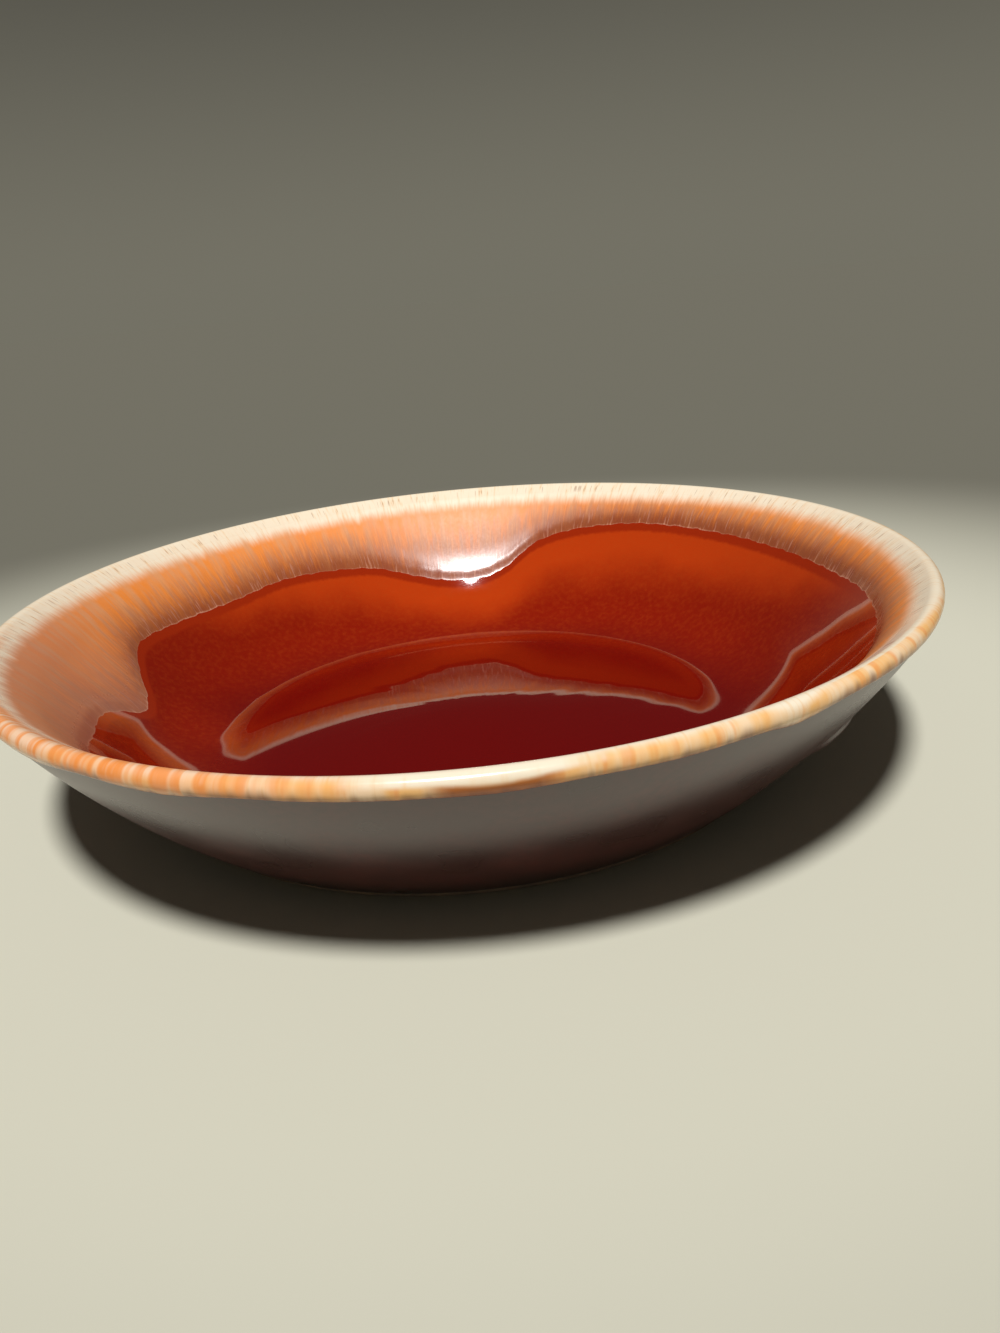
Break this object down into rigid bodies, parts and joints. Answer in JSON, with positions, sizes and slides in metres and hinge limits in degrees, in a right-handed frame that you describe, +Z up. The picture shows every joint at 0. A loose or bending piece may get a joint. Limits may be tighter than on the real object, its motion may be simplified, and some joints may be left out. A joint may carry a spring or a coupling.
{
  "type": "glazed stoneware bowl",
  "caption": "Shallow round bowl of thick stoneware with a flared rolled lip, a low foot ring, a glossy brown glaze and a cream overglaze that drips down from the lip.",
  "frame": {"origin": "centre of the circle where the foot ring stands, on the table", "axes": "+Z up along the bowl's axis; X and Y lie in the table, +Y away from the viewer"},
  "size_m": [0.228, 0.228, 0.0446],
  "materials": {
    "stoneware": "fired, matt, fine grain",
    "bare_foot": "bare fired clay, sanded smooth",
    "brown_glaze_inside": "mirror gloss, breaking to orange-red",
    "brown_glaze_outside": "mirror gloss",
    "brown_glaze_base": "gloss",
    "cream_glaze": "gloss, cream on the lip breaking to streaked tan"
  },
  "bodies": {
    "root": {"clay_body": "stoneware", "foot_ring": "bare_foot", "inside_glaze": "brown_glaze_inside", "outside_glaze": "brown_glaze_outside", "base_glaze": "brown_glaze_base", "rim_glaze": "cream_glaze"}
  },
  "joints": []
}
